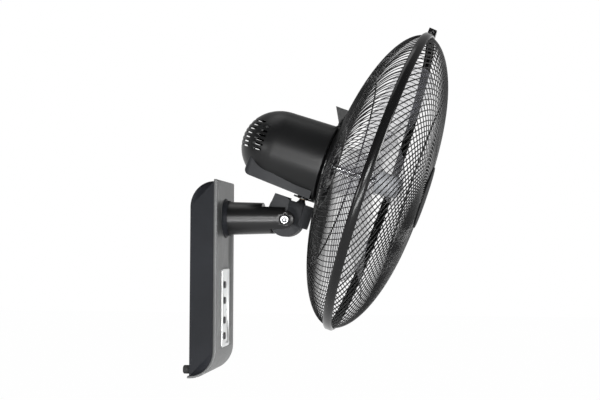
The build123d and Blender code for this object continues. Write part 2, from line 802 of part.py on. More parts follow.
# screws through the front plate, as places across the fan axis
thread_r = 1.5
motor_screws = [(28 * cos(radians(t)), 28 * sin(radians(t))) for t in (45, 135, 225, 315)]
bracket_screws = [(-48.2, -5), (-48.2, 5)]
block_front_a = shell_front_a
web_low = -51.5             # underside of the web from the sleeve to the front plate
with BuildPart() as neck_bracket:
    with BuildSketch(level(sleeve_low)):
        Circle(sleeve_flange_r)
    extrude(amount=sleeve_flange)
    with BuildSketch(level(sleeve_low)):
        Circle(sleeve_r)
    extrude(amount=sleeve_top - sleeve_low)
    with BuildSketch(side):
        with BuildLine():
            Polyline(
                (swivel_a, web_low), (block_front_a, web_low), (block_front_a, sleeve_top - 1),
                (swivel_a, sleeve_top - 1), close=True,
            )
        make_face()
    extrude(amount=sleeve_r, both=True)
    with BuildSketch(level(sleeve_low - 1)):
        Circle(bush_r)
    extrude(amount=30, mode=Mode.SUBTRACT)
    with BuildSketch(across(block_front_a)):
        with Locations(*bracket_screws):
            Circle(thread_r)
    extrude(amount=-8, mode=Mode.SUBTRACT)
keep(neck_bracket, "neck_bracket")

with BuildPart() as neck_bush:
    with BuildSketch(level(sleeve_low)):
        Circle(bush_r)
        Circle(neck_shaft_r + running_gap / 2, mode=Mode.SUBTRACT)
    extrude(amount=sleeve_top - sleeve_low)
keep(neck_bush, "neck_bush")

# ---------------------------------------------------------------- anchor arm, link, crank, swing motor
anchor_low = link_top + 1.4
with BuildPart() as anchor_arm:
    with BuildSketch(level(anchor_low)):
        Circle(7)
        with Locations((0, anchor_r)):
            Circle(link_eye_r - 0.4)
        make_hull()
        Circle(neck_shaft_r, mode=Mode.SUBTRACT)
    extrude(amount=neck_shaft_top - anchor_low)
    with BuildSketch(level(link_top - link_thick - 1)):
        with Locations((0, anchor_r)):
            Circle(link_pin_r)
    extrude(amount=anchor_low - link_top + link_thick + 1)
keep(anchor_arm, "anchor_arm")

crank_x = crank_a - swivel_a
crank_y = anchor_r - crank_r
eye_half = link_pin_r + 1.6 + drive_slack        # the pin strays this far along the link
eye_high = link_pin_r + drive_slack
eye_drop = crank_r - anchor_r * (1 - cos(radians(40)))    # and this far to one side at full swing
eye_low = -eye_drop - link_pin_r - drive_slack
with BuildPart() as swing_link:
    with BuildSketch(level(link_top - link_thick)):
        with Locations((0, anchor_r)):
            Circle(link_eye_r)
        with Locations((crank_x / 2, anchor_r)):
            Rectangle(-crank_x, 2 * link_half)
        with Locations((crank_x, anchor_r + (eye_high + eye_low) / 2)):
            RectangleRounded(2 * eye_half + 5, eye_high - eye_low + 5, 4)
            RectangleRounded(2 * eye_half, eye_high - eye_low, 2, mode=Mode.SUBTRACT)
        with Locations((0, anchor_r)):
            Circle(link_pin_r + running_gap, mode=Mode.SUBTRACT)
    extrude(amount=link_thick)
keep(swing_link, "swing_link")

crank_low = link_top + 0.5
with BuildPart() as crank:
    with BuildSketch(level(crank_low, crank_a)):
        with Locations((0, crank_y)):
            Circle(crank_disc_r)
    extrude(amount=crank_disc)
    with BuildSketch(level(link_top - link_thick - 1.4, crank_a)):
        with Locations((0, anchor_r)):
            Circle(link_pin_r)
    extrude(amount=crank_low - link_top + link_thick + 1.4)
    with BuildSketch(level(crank_low, crank_a)):
        with Locations((0, crank_y)):
            Circle(2.5, mode=Mode.ADD)
    extrude(amount=-1, mode=Mode.SUBTRACT)
keep(crank, "crank")

motor_low = crank_low + crank_disc + 0.6
with BuildPart() as swing_motor_can:
    with BuildSketch(level(motor_low, crank_a)):
        with Locations((0, crank_y)):
            Circle(swing_motor_r)
    extrude(amount=swing_motor)
    with BuildSketch(level(motor_low, crank_a)):
        with Locations((0, crank_y)):
            Circle(4.5)
    extrude(amount=-0.5)
keep(swing_motor_can, "swing_motor")

swing_top = motor_low + swing_motor
with BuildPart() as swing_bracket:
    with BuildSketch(side):
        with BuildLine():
            Polyline(
                (crank_a - swing_motor_r, swing_top), (bell_rear_a, swing_top), (bell_rear_a, swing_top + 12),
                (bell_rear_a - 1.6, swing_top + 12), (bell_rear_a - 1.6, swing_top + 1.6),
                (crank_a - swing_motor_r, swing_top + 1.6), close=True,
            )
        make_face()
    extrude(amount=13, both=True)
keep(swing_bracket, "swing_bracket")

# ---------------------------------------------------------------- main motor
def around(*points):
    """A closed ring about the fan axis from its half section, as (along, out) points."""
    with BuildPart() as ring:
        with BuildSketch(side):
            with BuildLine():
                Polyline(*points, close=True)
            make_face()
        revolve(axis=fan_axis)
    return ring


bell_skin = 2.4
bearing_seat = 9.0
stator_core = around(
    (stator_rear_a, stator_bore_r), (stator_rear_a, stator_r),
    (stator_front_a, stator_r), (stator_front_a, stator_bore_r),
)
keep(stator_core, "stator_core")

winding_depth = 8.0
winding_bore_r = 22.5
winding_r = 29.5
with BuildPart() as stator_windings:
    for start in (stator_rear_a - winding_depth, stator_front_a):
        end = start + winding_depth
        add(around((start, winding_bore_r), (start, winding_r), (end, winding_r), (end, winding_bore_r)).part)
keep(stator_windings, "stator_windings")

bell_front_a = shell_front_a
bell_cone = 5.0
with BuildPart() as front_bell:
    add(around(
        (bell_front_a, bearing_r), (bell_front_a, stator_r), (stator_front_a, stator_r),
        (stator_front_a, stator_r - bell_skin), (bell_front_a - bell_skin, stator_r - bell_skin),
        (bell_front_a - bell_skin, bearing_r + 4), (bell_front_a - bearing_seat, bearing_r + 4),
        (bell_front_a - bearing_seat, bearing_r),
    ).part)
    with BuildSketch(across(bell_front_a)):
        with Locations(*motor_screws):
            Circle(thread_r)
    extrude(amount=-bell_skin, mode=Mode.SUBTRACT)
keep(front_bell, "front_bell")

rear_bell = around(
    (stator_rear_a, stator_r - bell_skin), (stator_rear_a, stator_r), (bell_rear_a, stator_r - bell_cone),
    (bell_rear_a, bearing_r), (bell_rear_a + bearing_seat, bearing_r),
    (bell_rear_a + bearing_seat, bearing_r + 4),
    (bell_rear_a + bell_skin, bearing_r + 4), (bell_rear_a + bell_skin, stator_r - bell_cone - bell_skin),
)
keep(rear_bell, "rear_bell")

bearing_bore_r = motor_shaft_r + running_gap / 2
bearing_length = 8.6
with BuildPart() as shaft_bearings:
    for start in (bell_rear_a + 0.2, bell_front_a - 0.2 - bearing_length):
        add(around((start, bearing_bore_r), (start, bearing_r), (start + bearing_length, bearing_r),
                   (start + bearing_length, bearing_bore_r)).part)
keep(shaft_bearings, "shaft_bearings")

rotor_core = around(
    (stator_rear_a, motor_shaft_r), (stator_rear_a, rotor_r),
    (stator_front_a, rotor_r), (stator_front_a, motor_shaft_r),
)
keep(rotor_core, "rotor_core")

pin_a = hub_rear_a + 4
pin_r = 1.5
pin_half = 8.5              # half the pin's length
pin_slot = 2 * (pin_a - hub_rear_a)     # the hub's slot for it is open behind
with BuildPart() as motor_shaft:
    add(around((bell_rear_a - 1, 0), (bell_rear_a - 1, motor_shaft_r), (shaft_front_a - 1, motor_shaft_r),
               (shaft_front_a, motor_shaft_r - 1), (shaft_front_a, 0)).part)
    with BuildSketch(side):
        with Locations((pin_a, 0)):
            Circle(pin_r)
    extrude(amount=3 * motor_shaft_r, both=True, mode=Mode.SUBTRACT)
keep(motor_shaft, "motor_shaft")

with BuildPart() as drive_pin:
    with BuildSketch(side):
        with Locations((pin_a, 0)):
            Circle(pin_r)
    extrude(amount=pin_half, both=True)
keep(drive_pin, "drive_pin")

# ---------------------------------------------------------------- front plate, shell, lower cover
nut_boss_r = rear_hub_bore_r - fit_gap
plate_r = shell_r + plate_over_shell
plate_front_a = shell_front_a + plate_thick
rear_plate_thick = 1.6
nut_a = plate_front_a + rear_plate_thick
nut_end_a = nut_a + 8
with BuildPart() as front_plate:
    add(around(
        (shell_front_a, 13), (shell_front_a, plate_r), (plate_front_a - 1, plate_r),
        (plate_front_a, plate_r - 1),
        (plate_front_a, nut_boss_r), (nut_end_a, nut_boss_r), (nut_end_a, nut_boss_r - 3),
        (plate_front_a - 2, nut_boss_r - 3), (plate_front_a - 2, 13),
    ).part)
    # fin on top that the guard is lined up against
    with BuildSketch(side):
        with BuildLine():
            Polyline(
                (shell_front_a, plate_r - 3), (shell_front_a, plate_r + 4.4), (fin_rear_a, fin_top),
                (fin_front_a, fin_top - 0.5), (plate_front_a, plate_r - 3), close=True,
            )
        make_face()
    extrude(amount=5, both=True)
    with BuildSketch(across(shell_front_a)):
        with Locations(*bracket_screws, *motor_screws):
            Circle(thread_r + 0.1)
    extrude(amount=plate_thick, mode=Mode.SUBTRACT)
keep(front_plate, "front_plate")

with BuildPart() as plate_screws_group:
    for places, depth in ((bracket_screws, 6), (motor_screws, bell_skin)):
        with BuildSketch(across(shell_front_a - depth)):
            with Locations(*places):
                Circle(thread_r)
        extrude(amount=plate_thick + depth)
keep(plate_screws_group, "plate_screws")

with BuildPart() as shell_form:
    with BuildSketch(side):
        with BuildLine():
            Line((shell_end_a, 0), (shell_front_a, 0))
            Line((shell_front_a, 0), (shell_front_a, shell_r))
            Line((shell_front_a, shell_r), (shell_round_a, shell_rear_r))
            EllipticalCenterArc(
                (shell_round_a, 0), shell_round_a - shell_end_a, shell_rear_r, start_angle=90, arc_size=90
            )
        make_face()
    revolve(axis=fan_axis)

with BuildPart() as shell_core:
    with BuildSketch(side):
        with BuildLine():
            inner_end = shell_end_a + shell_skin
            inner_r = shell_rear_r - shell_skin
            Line((inner_end, 0), (shell_front_a + 1, 0))
            Line((shell_front_a + 1, 0), (shell_front_a + 1, shell_r - shell_skin))
            Line((shell_front_a + 1, shell_r - shell_skin), (shell_round_a, inner_r))
            EllipticalCenterArc(
                (shell_round_a, 0), shell_round_a - inner_end, inner_r, start_angle=90, arc_size=90
            )
        make_face()
    revolve(axis=fan_axis)

window_rear_a = crank_a - swing_motor_r - 1.4
window_width = 56.0
vent_rows = 7
vent_pitch = 6.5
vent_width = 3.0
vent_middle = 8.5
vent_end_a = -168.0
vent_columns = [(4.0, 19.5), (24.5, 39.5), (44.0, 53.0)]     # from the middle outwards, on both sides
with BuildPart() as motor_shell:
    add(shell_form.part)
    add(shell_core.part, mode=Mode.SUBTRACT)
    # open below for the swing drive
    with BuildSketch(level(-2 * shell_r, (shell_front_a + window_rear_a) / 2 + 1)):
        Rectangle(shell_front_a - window_rear_a + 2, window_width)
    extrude(amount=2 * shell_r - 12, mode=Mode.SUBTRACT)
    # cooling slots through the dome, cut straight along the fan axis
    with BuildSketch(across(vent_end_a)):
        for inner, outer in vent_columns:
            with Locations((vent_middle, (inner + outer) / 2), (vent_middle, -(inner + outer) / 2)):
                with GridLocations(vent_pitch, 1, vent_rows, 1):
                    Rectangle(vent_width, outer - inner)
    extrude(amount=shell_end_a - vent_end_a, mode=Mode.SUBTRACT)
keep(motor_shell, "motor_shell")

cover_skin = 2.0
cover_top = -22.0
cover_heel = 10.0
cover_corner = 8.0
cover_wide_a = -146.0       # full width from here back
cover_waist_a = -108.0      # the front width from here forward


def cover_solid(inset, front):
    """Lower cover's outside, or its hollow when drawn inset."""
    rear = cover_rear_a + inset
    low = cover_low_rear + inset
    with BuildPart() as body:
        with BuildSketch(side):
            with BuildLine():
                Polyline(
                    (front, cover_top), (rear + 2.5, cover_top), (rear, cover_top - 6),
                    (rear, low + cover_heel),
                )
                CenterArc((rear + cover_heel, low + cover_heel), cover_heel, 180, 90)
                Polyline((rear + cover_heel, low), (front, cover_low_front + inset), (front, cover_top))
            make_face()
        extrude(amount=cover_half, both=True)
        # seen from below: wide behind, a little narrower in front
        with BuildSketch(level(cover_top, 0)):
            with BuildLine():
                Polyline(
                    (1, cover_waist), (cover_waist_a, cover_waist), (cover_wide_a, cover_half),
                    (cover_rear_a, cover_half), (cover_rear_a, -cover_half), (cover_wide_a, -cover_half),
                    (cover_waist_a, -cover_waist), (1, -cover_waist), close=True,
                )
            make_face()
            fillet(vertices().group_by(Axis.X)[0], cover_corner)
            offset(amount=-inset, mode=Mode.REPLACE)
        extrude(amount=-2 * cover_half, mode=Mode.INTERSECT)
    return body.part


with BuildPart() as lower_cover:
    add(cover_solid(0, shell_front_a - fit_gap))
    add(cover_solid(cover_skin, shell_front_a + 1), mode=Mode.SUBTRACT)
    with BuildSketch(side):
        with BuildLine():
            Line((shell_end_a - fit_gap, 0), (shell_front_a + 1, 0))
            Line((shell_front_a + 1, 0), (shell_front_a + 1, shell_r + fit_gap))
            Line((shell_front_a + 1, shell_r + fit_gap), (shell_round_a, shell_rear_r + fit_gap))
            EllipticalCenterArc(
                (shell_round_a, 0), shell_round_a - shell_end_a + fit_gap, shell_rear_r + fit_gap,
                start_angle=90, arc_size=90,
            )
        make_face()
    revolve(axis=fan_axis, mode=Mode.SUBTRACT)
    with BuildSketch(level(-2 * shell_r)):
        Circle(sleeve_r + fit_gap)
    extrude(amount=2 * shell_r - 20, mode=Mode.SUBTRACT)
keep(lower_cover, "lower_cover")

# ---------------------------------------------------------------- guards
def guard_curve(turn, depth, power_r, power_a):
    """Out and along of a guard's dome, for turn from 0 at the rim to 1 at the axis."""
    angle = turn * pi / 2
    return rim_r * cos(angle) ** (2 / power_r), depth * sin(angle) ** (2 / power_a)


def turn_at(radius, power_r):
    """Turn at which a dome has this radius."""
    return acos((radius / rim_r) ** (power_r / 2)) / (pi / 2)


def turn_along(along, depth, power_a):
    """Turn at which a dome has come this far along the axis."""
    return asin((along / depth) ** (power_a / 2)) / (pi / 2)


def guard_wire(sign, depth, power_r, power_a, end_r, twist):
    """One square wire of a guard, bent over the dome while it turns about the axis."""
    first = turn_along(rim_ring_a, depth, power_a)
    last = turn_at(end_r, power_r)
    stations = []
    for step in range(wire_steps + 1):
        share = step / wire_steps
        out, along = guard_curve(first + (last - first) * share, depth, power_r, power_a)
        angle = radians(twist) * share ** 2
        stations.append((out * cos(angle), out * sin(angle), sign * along))
    with BuildPart() as single:
        with BuildLine(face) as path:
            Polyline(*stations)
        with BuildSketch(Plane(path.line @ 0, z_dir=path.line % 0)):
            Rectangle(wire, wire)
        sweep(transition=Transition.RIGHT)
    return single.part


def square_ring(middle, out):
    """A ring wire of square section about the fan axis."""
    half = ring_wire / 2
    return around(
        (middle - half, out - half), (middle + half, out - half), (middle + half, out + half),
        (middle - half, out + half),
    ).part


half_band = band_width / 2
rim_ring_r = rim_r + ring_over_rim
rim_ring_a = half_band - band_flange - fit_gap - ring_wire / 2
ring_drop = 1.6             # the middle rings lie this far inside the wires
wire_pitch = 360 / wire_count
front_form = (front_depth, front_power_r, front_power_a)
rear_form = (rear_depth, rear_power_r, rear_power_a)

hub_wire_r = rear_hub_r - 4
hub_a = -guard_curve(turn_at(hub_wire_r, rear_power_r), *rear_form)[1]
middle_along = guard_curve(turn_at(middle_ring_r, rear_power_r), *rear_form)[1]
rear_wire = guard_wire(-1, *rear_form, hub_wire_r, wire_twist)
with BuildPart() as rear_guard:
    add(around(
        (plate_front_a, rear_hub_bore_r), (plate_front_a, rear_hub_r - 8), (hub_a - 1.6, hub_wire_r),
        (hub_a - 1.6, rear_hub_r), (hub_a + 1.4, rear_hub_r), (hub_a + 1.4, hub_wire_r),
        (nut_a, rear_hub_r - 8), (nut_a, rear_hub_bore_r),
    ).part)
    add([rear_wire.rotate(fan_axis, wire_pitch * n) for n in range(wire_count)])
    add(square_ring(-rim_ring_a, rim_ring_r))
    add(square_ring(ring_drop - middle_along, middle_ring_r))
keep(rear_guard, "rear_guard")

badge_wire_r = badge_r - 2
badge_along = guard_curve(turn_at(badge_wire_r, front_power_r), *front_form)[1]
middle_along = guard_curve(turn_at(middle_ring_r, front_power_r), *front_form)[1]
front_wire = guard_wire(1, *front_form, badge_wire_r, -wire_twist)
with BuildPart() as front_guard:
    add(around(
        (badge_along - 1.2, badge_r - 4), (badge_along - 1.2, badge_r), (badge_along + 1.2, badge_r),
        (badge_along + 1.2, badge_r - 4),
    ).part)
    add([front_wire.rotate(fan_axis, wire_pitch * n) for n in range(wire_count)])
    add(square_ring(rim_ring_a, rim_ring_r))
    add(square_ring(middle_along - ring_drop, middle_ring_r))
keep(front_guard, "front_guard")

badge_a = badge_along + 1.2
with BuildPart() as guard_badge:
    with BuildSketch(side):
        with BuildLine():
            Line((badge_a, 0), (badge_a, badge_r - 1))
            Line((badge_a, badge_r - 1), (badge_a + badge_rim, badge_r - 1))
            EllipticalCenterArc(
                (badge_a + badge_rim, 0), badge_crown, badge_r - 1, start_angle=0, arc_size=90
            )
            Line((badge_a + badge_rim + badge_crown, 0), (badge_a, 0))
        make_face()
    revolve(axis=fan_axis)
keep(guard_badge, "guard_badge")

with BuildPart() as guard_nut:
    add(around(
        (nut_a, nut_boss_r), (nut_a, guard_nut_r), (nut_end_a, guard_nut_r - 2), (nut_end_a, nut_boss_r),
    ).part)
    with BuildSketch(across(nut_a)):
        with PolarLocations(guard_nut_r, 8):
            Circle(2.2)
    extrude(amount=8)
keep(guard_nut, "guard_nut")

# ---------------------------------------------------------------- rim band with its clamp lugs
lug_y = lug_split / 2 + lug_thick
band_slope = 2.4
channel_r = rim_ring_r + ring_wire / 2 + fit_gap
band_outer_r = channel_r + band_wall
band_inner_r = band_outer_r - band_bevel
band_lip_r = rim_r + band_lip_gap
with BuildPart() as rim_band:
    with BuildSketch(side):
        with BuildLine():
            Polyline(
                (-half_band, band_lip_r), (-half_band, band_inner_r), (-half_band + band_slope, band_outer_r),
                (half_band - band_slope, band_outer_r), (half_band, band_inner_r), (half_band, band_lip_r),
                (half_band - band_flange, band_lip_r), (half_band - band_flange, channel_r),
                (band_flange - half_band, channel_r), (band_flange - half_band, band_lip_r), close=True,
            )
        make_face()
    revolve(axis=fan_axis)
    with BuildSketch(side):
        with BuildLine():
            Polyline(
                (-half_band, band_inner_r), (1 - half_band, band_outer_r + lug_height),
                (half_band - 0.4, band_outer_r + lug_height - 1.2), (half_band, band_inner_r), close=True,
            )
        make_face()
    extrude(amount=lug_y, both=True)
    with BuildSketch(side):
        with Locations((0, band_outer_r + lug_height / 2)):
            Rectangle(2 * band_width, 2 * lug_height + 6)
    extrude(amount=lug_split / 2, both=True, mode=Mode.SUBTRACT)
    with BuildSketch(side):
        with Locations((0, band_outer_r + lug_height / 2)):
            Circle(2)
    extrude(amount=3 * lug_y, both=True, mode=Mode.SUBTRACT)
keep(rim_band, "rim_band")

with BuildPart() as band_screw:
    with BuildSketch(side.offset(lug_y)):
        with Locations((0, band_outer_r + lug_height / 2)):
            Circle(3.4)
    extrude(amount=2.4)
    with BuildSketch(side.offset(lug_y)):
        with Locations((0, band_outer_r + lug_height / 2)):
            Circle(1.9)
    extrude(amount=-2 * lug_y - 3.4)
keep(band_screw, "band_screw")

with BuildPart() as band_nut:
    with BuildSketch(side.offset(-lug_y)):
        with Locations((0, band_outer_r + lug_height / 2)):
            RegularPolygon(3.5, 6)
            Circle(2, mode=Mode.SUBTRACT)
    extrude(amount=-3)
keep(band_nut, "band_nut")

# ---------------------------------------------------------------- blades and hub
# (radius, front edge along, front edge around, rear edge along, rear edge around)
blade_sections = [
    (22.0, -15.0, 18.0, -47.0, -19.0),
    (80.0, 9.0, 46.0, -38.0, -40.0),
    (130.0, 19.0, 66.0, -28.0, -44.0),
    (blade_tip_r + 4, 28.0, 66.0, -14.0, -30.0),
]
blade_camber = 7.0
# outline seen along the axis, as (radius, around) points
blade_trail = [(hub_r - 14, -29.0), (70.0, -46.0), (120.0, -52.0)]
blade_end = [(blade_tip_r - 16, -38.0), (blade_tip_r - 1, 8.0), (blade_tip_r - 10, 50.0)]
blade_lead = [(120.0, 70.0), (70.0, 52.0), (hub_r - 14, 29.0)]
with BuildPart() as blade:
    for radius, front_a, front_t, rear_a, rear_t in blade_sections:
        middle_a = (front_a + rear_a) / 2
        middle_t = (front_t + rear_t) / 2
        chord = hypot(front_a - rear_a, front_t - rear_t)
        lean_a = (front_t - rear_t) / chord
        lean_t = -(front_a - rear_a) / chord
        camber = blade_camber + blade_thick / 2
        flat = blade_camber - blade_thick / 2
        with BuildSketch(Plane(rim_centre + upward * radius, x_dir=forward, z_dir=upward)):
            with BuildLine():
                edge_a = lean_a * blade_thick / 4
                edge_t = lean_t * blade_thick / 4
                front_high = (front_a + edge_a, front_t + edge_t)
                front_low = (front_a - edge_a, front_t - edge_t)
                rear_high = (rear_a + edge_a, rear_t + edge_t)
                rear_low = (rear_a - edge_a, rear_t - edge_t)
                ThreePointArc(rear_high, (middle_a + lean_a * camber, middle_t + lean_t * camber), front_high)
                Line(front_high, front_low)
                ThreePointArc(front_low, (middle_a + lean_a * flat, middle_t + lean_t * flat), rear_low)
                Line(rear_low, rear_high)
            make_face()
    loft()
    with BuildSketch(Plane(rim_centre, x_dir=upward, z_dir=forward * -1)):
        with BuildLine():
            Polyline(*blade_trail)
            Spline(blade_trail[-1], *blade_end, blade_lead[0], tangents=((4, 0.2), (-4, 0.4)))
            Polyline(*blade_lead, blade_trail[0])
        make_face()
    extrude(amount=60, both=True, mode=Mode.INTERSECT)

hub_bore_r = motor_shaft_r + running_gap / 2
hub_core_r = 11.0
with BuildPart() as fan_blade:
    with BuildSketch(side):
        with BuildLine():
            Line((hub_rear_a, hub_r + 2), (hub_front_a - 4, hub_r))
            ThreePointArc((hub_front_a - 4, hub_r), (hub_front_a - 1, hub_r - 2), (hub_front_a, hub_r - 6))
            Polyline(
                (hub_front_a, hub_r - 6), (hub_front_a, hub_bore_r), (hub_rear_a, hub_bore_r),
                (hub_rear_a, hub_r + 2),
            )
        make_face()
    revolve(axis=fan_axis)
    add([blade.part.rotate(fan_axis, 360 / blade_count * n) for n in range(blade_count)])
    # hollow behind, round the core
    add(around(
        (hub_rear_a - 1, hub_core_r), (hub_front_a - 3, hub_core_r), (hub_front_a - 3, hub_r - 8),
        (hub_front_a - 7, hub_r - 2.6), (hub_rear_a - 1, hub_r - 0.6),
    ).part, mode=Mode.SUBTRACT)
    with BuildSketch(side):
        with Locations((pin_a, 0)):
            SlotCenterToCenter(pin_slot, 2 * pin_r + 0.2)
    extrude(amount=pin_half + fit_gap, both=True, mode=Mode.SUBTRACT)
keep(fan_blade, "fan_blade")

with BuildPart() as spinner:
    with BuildSketch(side):
        with BuildLine():
            Polyline(
                (hub_front_a, motor_shaft_r), (hub_front_a, spinner_r + 2),
                (hub_front_a + 3, spinner_r + 2), (hub_front_a + 3, spinner_r),
            )
            Line((hub_front_a + 3, spinner_r), (spinner_end_a - 8, spinner_r - 2))
            EllipticalCenterArc((spinner_end_a - 8, 0), 8, spinner_r - 2, start_angle=0, arc_size=90)
            Polyline((spinner_end_a, 0), (shaft_front_a, 0), (shaft_front_a, motor_shaft_r),
                     (hub_front_a, motor_shaft_r))
        make_face()
    revolve(axis=fan_axis)
keep(spinner, "spinner")
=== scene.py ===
import json
from math import acos, asin, cos, pi, radians, sin
import bpy
import bmesh
from mathutils import Matrix, Vector


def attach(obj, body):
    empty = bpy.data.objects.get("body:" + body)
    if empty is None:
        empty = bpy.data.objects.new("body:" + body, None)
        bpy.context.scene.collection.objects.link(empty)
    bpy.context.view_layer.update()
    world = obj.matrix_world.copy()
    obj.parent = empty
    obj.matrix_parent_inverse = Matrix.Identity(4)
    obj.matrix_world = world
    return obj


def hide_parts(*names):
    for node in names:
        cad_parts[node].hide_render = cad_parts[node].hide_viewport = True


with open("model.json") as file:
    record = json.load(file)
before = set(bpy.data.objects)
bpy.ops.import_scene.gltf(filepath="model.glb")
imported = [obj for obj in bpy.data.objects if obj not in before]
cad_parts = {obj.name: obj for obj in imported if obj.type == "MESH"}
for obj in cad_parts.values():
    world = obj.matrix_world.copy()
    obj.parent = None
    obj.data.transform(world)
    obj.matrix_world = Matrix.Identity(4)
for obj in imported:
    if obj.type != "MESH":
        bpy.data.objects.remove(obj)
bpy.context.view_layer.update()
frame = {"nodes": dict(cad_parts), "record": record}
scene = bpy.context.scene
nodes = frame["nodes"]
slotOf = {part["node"]: part["material_slot"] for part in frame["record"]["subparts"]}
bodyOf = {name: body for body, members in frame["record"]["behaviour"]["bodies"].items() for name in members}
print("frame loaded:", len(nodes), "nodes")

# camera, as the photograph was taken: angles in degrees, lengths in metres, lens and sensor in millimetres
shot = {"azimuth": 8.39, "elevation": -2.42, "roll": 0.23, "distance": 1.5682,
        "target": (0.1557, 0.0, 0.1113), "lens": 65.86, "sensor": 36, "near": 0.02, "far": 60}

def placeCamera():
    az, el, roll = (radians(shot[k]) for k in ("azimuth", "elevation", "roll"))
    back = Vector((sin(az) * cos(el), -cos(az) * cos(el), sin(el)))
    right = (-back).cross(Vector((0, 0, 1))).normalized()
    top = right.cross(-back)
    right, top = right * cos(roll) + top * sin(roll), top * cos(roll) - right * sin(roll)
    lens = bpy.data.cameras.new("shotCamera")
    lens.lens = shot["lens"]
    lens.sensor_width = shot["sensor"]
    lens.sensor_fit = "HORIZONTAL"
    lens.clip_start = shot["near"]
    lens.clip_end = shot["far"]
    camera = bpy.data.objects.new("shotCamera", lens)
    scene.collection.objects.link(camera)
    place = Matrix((right, top, back)).transposed().to_4x4()
    place.translation = Vector(shot["target"]) + back * shot["distance"]
    camera.matrix_world = place
    scene.camera = camera

placeCamera()
scene.view_settings.view_transform = "Standard"
print("camera placed")

# a socket that can be added, multiplied and so on, in shader trees and in geometry trees
class Tap:
    def __init__(self, tree, socket=None):
        self.tree = tree
        self.socket = socket

    def make(self, kind, settings=None, values=None, out=0):
        step = self.tree.nodes.new(kind)
        for name, value in (settings or {}).items():
            setattr(step, name, value)
        for name, value in (values or {}).items():
            if isinstance(value, Tap):
                self.tree.links.new(value.socket, step.inputs[name])
            else:
                step.inputs[name].default_value = value
        return Tap(self.tree, step.outputs[out] if step.outputs else None)

    def output(self, name):
        return Tap(self.tree, self.socket.node.outputs[name])

    def sum(self, operation, first, second=0.0):
        return self.make("ShaderNodeMath", {"operation": operation}, {0: first, 1: second})

    def __add__(self, other):
        return self.sum("ADD", self, other)

    def __radd__(self, other):
        return self.sum("ADD", other, self)

    def __sub__(self, other):
        return self.sum("SUBTRACT", self, other)

    def __rsub__(self, other):
        return self.sum("SUBTRACT", other, self)

    def __mul__(self, other):
        return self.sum("MULTIPLY", self, other)

    def __rmul__(self, other):
        return self.sum("MULTIPLY", other, self)

    def __truediv__(self, other):
        return self.sum("DIVIDE", self, other)

    def __rtruediv__(self, other):
        return self.sum("DIVIDE", other, self)

    def __pow__(self, other):
        return self.sum("POWER", self, other)

    def __rpow__(self, other):
        return self.sum("POWER", other, self)

    def within(self, low, high):
        # 0 at low, 1 at high, smooth between them
        return self.make("ShaderNodeMapRange", {"interpolation_type": "SMOOTHSTEP"},
                         {0: self, 1: low, 2: high, 3: 0.0, 4: 1.0})

def mixed(factor, first, second):
    # the Mix node's colour sockets are its inputs 6 and 7 and its output 2
    return factor.make("ShaderNodeMix", {"data_type": "RGBA"}, {0: factor, 6: first, 7: second}, out=2)

def noise(start, scale, detail, stretch=(1, 1, 1)):
    place = start.make("ShaderNodeTexCoord").output("Object")
    place = start.make("ShaderNodeMapping", {}, {"Vector": place, "Scale": stretch})
    return start.make("ShaderNodeTexNoise", {}, {"Vector": place, "Scale": scale, "Detail": detail})

def bump(start, height, depth):
    return start.make("ShaderNodeBump", {}, {"Height": height, "Distance": depth})

def newFinish(name):
    material = bpy.data.materials.new(name)
    material.use_nodes = True
    tree = material.node_tree
    return material, Tap(tree), tree.nodes["Principled BSDF"]

def feed(start, ready, sockets):
    # sets or links the sockets of a node that is already there
    for name, value in sockets.items():
        if isinstance(value, Tap):
            start.tree.links.new(value.socket, ready.inputs[name])
        else:
            ready.inputs[name].default_value = value

# what the finishes share
blotch = {"from": 0.3, "to": 0.7}       # where in a noise its first colour turns into its second
dusting = {"colour": (0.20, 0.195, 0.18, 1.0), "upFrom": 0.35, "upTo": 1.0}
hairs = [{"scale": 60.0, "stretch": (1, 1, 26), "from": 0.62, "to": 0.70},
         {"scale": 55.0, "stretch": (24, 1, 1), "from": 0.64, "to": 0.72}]

def shade(colour, gain):
    return tuple(min(1.0, part * gain) for part in colour) + (1.0,)

def blotched(pattern, dark, pale):
    return mixed(pattern.within(blotch["from"], blotch["to"]), dark, pale)

def uneven(middle, *parts):
    # wavers about its middle value by a share of each pattern
    level = middle - sum(share for pattern, share in parts) / 2
    for pattern, share in parts:
        level = pattern * share + level
    return level

def dusted(start, tone, patches, amount):
    # a little dust settles on what faces up
    facing = start.make("ShaderNodeTexCoord").output("Normal")
    upward = start.make("ShaderNodeSeparateXYZ", {}, {0: facing}).output("Z")
    settled = upward.within(dusting["upFrom"], dusting["upTo"]) * patches * amount
    return mixed(settled, tone, dusting["colour"])

def scuffs(start, amount):
    # fine hair scratches from wiping, lying both ways
    level, upright = (noise(start, hair["scale"], 2.0, hair["stretch"]).within(hair["from"], hair["to"])
                      for hair in hairs)
    return (level + upright) * amount

mouldedLook = {"patches": 14.0, "spread": 0.12, "dustFrom": 0.35, "dustTo": 0.75, "fine": 0.10, "broad": 0.05,
               "scuffs": 0.07}

def moulded(name, colour, rough, grain=900.0, depth=0.00004, dusty=0.02, gloss=0.3):
    # opaque plastic with a fine grain
    look = mouldedLook
    material, start, shader = newFinish(name)
    fine = noise(start, grain, 2.0)
    broad = noise(start, look["patches"], 3.0)
    tone = blotched(broad, shade(colour, 1 - look["spread"]), shade(colour, 1 + look["spread"]))
    worn = uneven(rough, (fine, look["fine"]), (broad, look["broad"]))
    feed(start, shader, {
        "Base Color": dusted(start, tone, broad.within(look["dustFrom"], look["dustTo"]), dusty),
        "Roughness": scuffs(start, look["scuffs"]) + worn,
        "Normal": bump(start, fine, depth), "Specular IOR Level": gloss})
    return material

